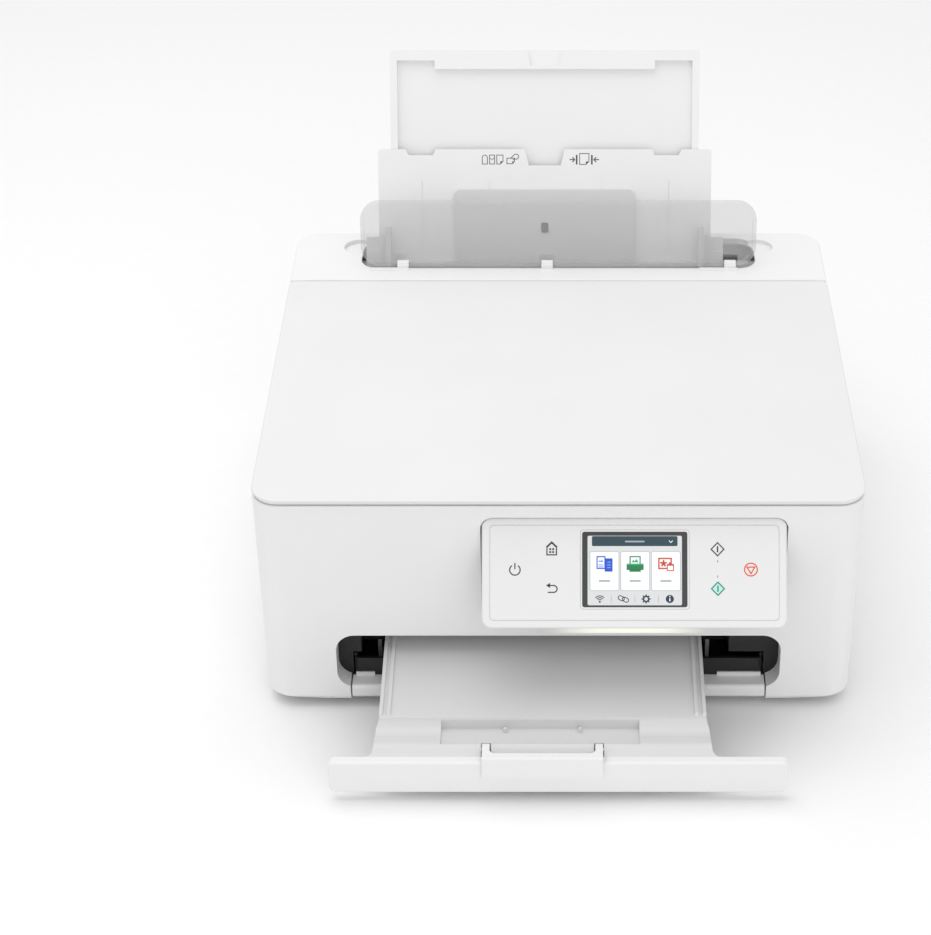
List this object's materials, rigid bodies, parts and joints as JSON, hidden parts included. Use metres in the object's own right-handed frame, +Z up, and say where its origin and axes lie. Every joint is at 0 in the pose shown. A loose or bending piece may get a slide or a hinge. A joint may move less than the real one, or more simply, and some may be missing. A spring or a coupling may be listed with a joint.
{
  "type": "multifunction printer",
  "caption": "Desktop multifunction printer with a flatbed scanner under a hinged lid, a tilting touch panel, a paper cassette, a sliding output tray and a telescoping rear paper support.",
  "frame": {"origin": "middle of the footprint, from the output flap's front to the top of the raised paper support, on the surface that the feet stand on", "axes": "+X to the right seen from the front, +Y from the front to the rear, +Z up; the front faces -Y"},
  "size_m": [0.377, 0.4728, 0.2925],
  "materials": {
    "white_shell": "fine matt grain",
    "lid_white": "fine matt grain",
    "tray_white": "satin",
    "panel_white": "soft gloss",
    "base_grey": "matt",
    "dark_plastic": "matt",
    "rubber": "matt",
    "roller_rubber": "matt, on steel shafts",
    "clear_grey": "translucent",
    "light_window": "translucent, lit",
    "screen_black": "gloss",
    "screen_face": "gloss, lit",
    "pad_foam": "white film on foam",
    "felt": "felt in a tub",
    "bed_glass": "clear",
    "steel": "zinc plated sheet",
    "shaft_steel": "ground",
    "gear_plastic": "satin",
    "motor_can": "satin",
    "board_green": "lacquered",
    "cartridge_black": "satin",
    "cartridge_color": "satin"
  },
  "bodies": {
    "casing": {"main_casing": "white_shell", "base_case": "base_grey", "rubber_feet": "rubber", "rear_deck": "white_shell", "rear_panel": "base_grey", "ac_inlet": "dark_plastic", "usb_port": "dark_plastic", "status_light": "light_window", "side_frames": "steel", "feed_chute": "tray_white", "rear_tray_plate": "tray_white", "rest_pad": "rubber", "inner_chassis": "dark_plastic", "platen": "dark_plastic", "purge_unit": "dark_plastic", "carriage_rail": "steel", "guide_shaft": "shaft_steel", "carriage_belt": "rubber", "carriage_motor": "motor_can", "feed_motor": "motor_can", "ink_absorber": "felt", "power_supply": "dark_plastic", "main_board": "board_green"},
    "scanner_unit": {"scanner_tray": "tray_white", "scanner_frame": "tray_white", "scan_glass": "bed_glass", "scan_rail": "shaft_steel"},
    "document_lid": {"lid_shell": "lid_white", "lid_hinge_pins": "lid_white", "pressure_pad": "pad_foam"},
    "scan_head": {"scan_bar": "dark_plastic"},
    "control_panel": {"panel_front": "panel_white", "panel_back": "panel_white", "display_frame": "screen_black", "display_screen": "screen_face"},
    "cassette": {"cassette_tray": "dark_plastic", "cassette_front": "white_shell"},
    "lift_plate": {"lift_plate": "tray_white"},
    "cassette_guide_left": {"cassette_guide_left": "tray_white"},
    "cassette_guide_right": {"cassette_guide_right": "tray_white"},
    "output_tray": {"output_tray": "tray_white", "tray_front_plate": "white_shell"},
    "output_flap": {"output_flap": "white_shell"},
    "lower_support": {"lower_support": "white_shell"},
    "upper_support": {"upper_support": "white_shell"},
    "feed_cover": {"feed_slot_cover": "clear_grey"},
    "rear_guide_left": {"rear_guide_left": "tray_white"},
    "rear_guide_right": {"rear_guide_right": "tray_white"},
    "carriage": {"carriage": "dark_plastic", "print_head": "dark_plastic", "black_cartridge": "cartridge_black", "color_cartridge": "cartridge_color"},
    "drive_pulley": {"drive_pulley": "gear_plastic"},
    "idler_pulley": {"idler_pulley": "gear_plastic"},
    "feed_roller": {"feed_roller": "roller_rubber"},
    "eject_roller": {"eject_roller": "roller_rubber"},
    "idler_gear": {"idler_gear": "gear_plastic"},
    "motor_pinion": {"motor_pinion": "gear_plastic"},
    "rear_pickup_roller": {"rear_pickup_roller": "roller_rubber"},
    "cassette_pickup_roller": {"cassette_pickup_roller": "roller_rubber"}
  },
  "joints": [
    {"name": "scanner_lift", "type": "hinge", "parent": "casing", "child": "scanner_unit", "pos_m": [0, 0.13488, 0.156], "axis": [-1, 0, 0], "range_deg": [0, 25]},
    {"name": "lid_open", "type": "hinge", "parent": "scanner_unit", "child": "document_lid", "pos_m": [0, 0.12838, 0.1586], "axis": [-1, 0, 0], "range_deg": [0, 60]},
    {"name": "scan_travel", "type": "slide", "parent": "scanner_unit", "child": "scan_head", "axis": [1, 0, 0], "range_m": [0, 0.279]},
    {"name": "panel_tilt", "type": "hinge", "parent": "casing", "child": "control_panel", "pos_m": [0.0465, -0.13954, 0.14152], "axis": [-1, 0, 0], "range_deg": [-36, 9]},
    {"name": "cassette_slide", "type": "slide", "parent": "casing", "child": "cassette", "axis": [0, -1, 0], "range_m": [0, 0.2]},
    {"name": "lift_plate_tilt", "type": "hinge", "parent": "cassette", "child": "lift_plate", "pos_m": [-0.0097, -0.01312, 0.0135], "axis": [1, 0, 0], "range_deg": [0, 7]},
    {"name": "cassette_guide_left_slide", "type": "slide", "parent": "cassette", "child": "cassette_guide_left", "axis": [1, 0, 0], "range_m": [0, 0.04]},
    {"name": "cassette_guide_right_slide", "type": "slide", "parent": "cassette", "child": "cassette_guide_right", "axis": [-1, 0, 0], "range_m": [0, 0.04]},
    {"name": "output_tray_slide", "type": "slide", "parent": "cassette", "child": "output_tray", "axis": [0, -0.9969, -0.0785], "range_m": [-0.084, 0]},
    {"name": "flap_turn", "type": "hinge", "parent": "output_tray", "child": "output_flap", "pos_m": [-0.0097, -0.22212, 0.0306], "axis": [-1, 0, 0], "range_deg": [0, 90]},
    {"name": "lower_support_slide", "type": "slide", "parent": "casing", "child": "lower_support", "axis": [0, 0.3746, 0.9272], "range_m": [-0.07, 0]},
    {"name": "upper_support_slide", "type": "slide", "parent": "lower_support", "child": "upper_support", "axis": [0, 0.3746, 0.9272], "range_m": [-0.065, 0]},
    {"name": "feed_cover_turn", "type": "hinge", "parent": "casing", "child": "feed_cover", "pos_m": [0, 0.15438, 0.1638], "axis": [-1, 0, 0], "range_deg": [-70, 0]},
    {"name": "rear_guide_left_slide", "type": "slide", "parent": "casing", "child": "rear_guide_left", "axis": [1, 0, 0], "range_m": [0, 0.06]},
    {"name": "rear_guide_right_slide", "type": "slide", "parent": "casing", "child": "rear_guide_right", "axis": [-1, 0, 0], "range_m": [0, 0.06]},
    {"name": "carriage_travel", "type": "slide", "parent": "casing", "child": "carriage", "axis": [1, 0, 0], "range_m": [-0.225, 0]},
    {"name": "drive_pulley_turn", "type": "hinge", "parent": "casing", "child": "drive_pulley", "pos_m": [-0.128, 0.01938, 0.104], "axis": [0, 1, 0], "range_deg": [-60, 2200]},
    {"name": "idler_pulley_turn", "type": "hinge", "parent": "casing", "child": "idler_pulley", "pos_m": [0.128, 0.01938, 0.104], "axis": [0, 1, 0], "range_deg": [-60, 2200]},
    {"name": "feed_roller_turn", "type": "hinge", "parent": "casing", "child": "feed_roller", "pos_m": [0, 0.00688, 0.067], "axis": [1, 0, 0], "continuous": true},
    {"name": "idler_gear_turn", "type": "hinge", "parent": "casing", "child": "idler_gear", "pos_m": [0.155, -0.01612, 0.06551], "axis": [1, 0, 0], "continuous": true},
    {"name": "eject_roller_turn", "type": "hinge", "parent": "casing", "child": "eject_roller", "pos_m": [0, -0.03912, 0.06402], "axis": [1, 0, 0], "continuous": true},
    {"name": "motor_pinion_turn", "type": "hinge", "parent": "casing", "child": "motor_pinion", "pos_m": [0.155, 0.01969, 0.0529], "axis": [1, 0, 0], "continuous": true},
    {"name": "rear_pickup_turn", "type": "hinge", "parent": "casing", "child": "rear_pickup_roller", "pos_m": [0, 0.13886, 0.10968], "axis": [1, 0, 0], "continuous": true},
    {"name": "cassette_pickup_turn", "type": "hinge", "parent": "casing", "child": "cassette_pickup_roller", "pos_m": [0, 0.07188, 0.046], "axis": [1, 0, 0], "continuous": true}
  ],
  "couplings": [
    {"joint": "cassette_guide_right_slide", "follows": "cassette_guide_left_slide", "ratio": 1},
    {"joint": "rear_guide_right_slide", "follows": "rear_guide_left_slide", "ratio": 1},
    {"joint": "drive_pulley_turn", "follows": "carriage_travel", "rad_per_m": -166.67},
    {"joint": "idler_pulley_turn", "follows": "carriage_travel", "rad_per_m": -166.67},
    {"joint": "idler_gear_turn", "follows": "feed_roller_turn", "ratio": -1.5556},
    {"joint": "eject_roller_turn", "follows": "feed_roller_turn", "ratio": 1},
    {"joint": "motor_pinion_turn", "follows": "feed_roller_turn", "ratio": -2.8}
  ]
}
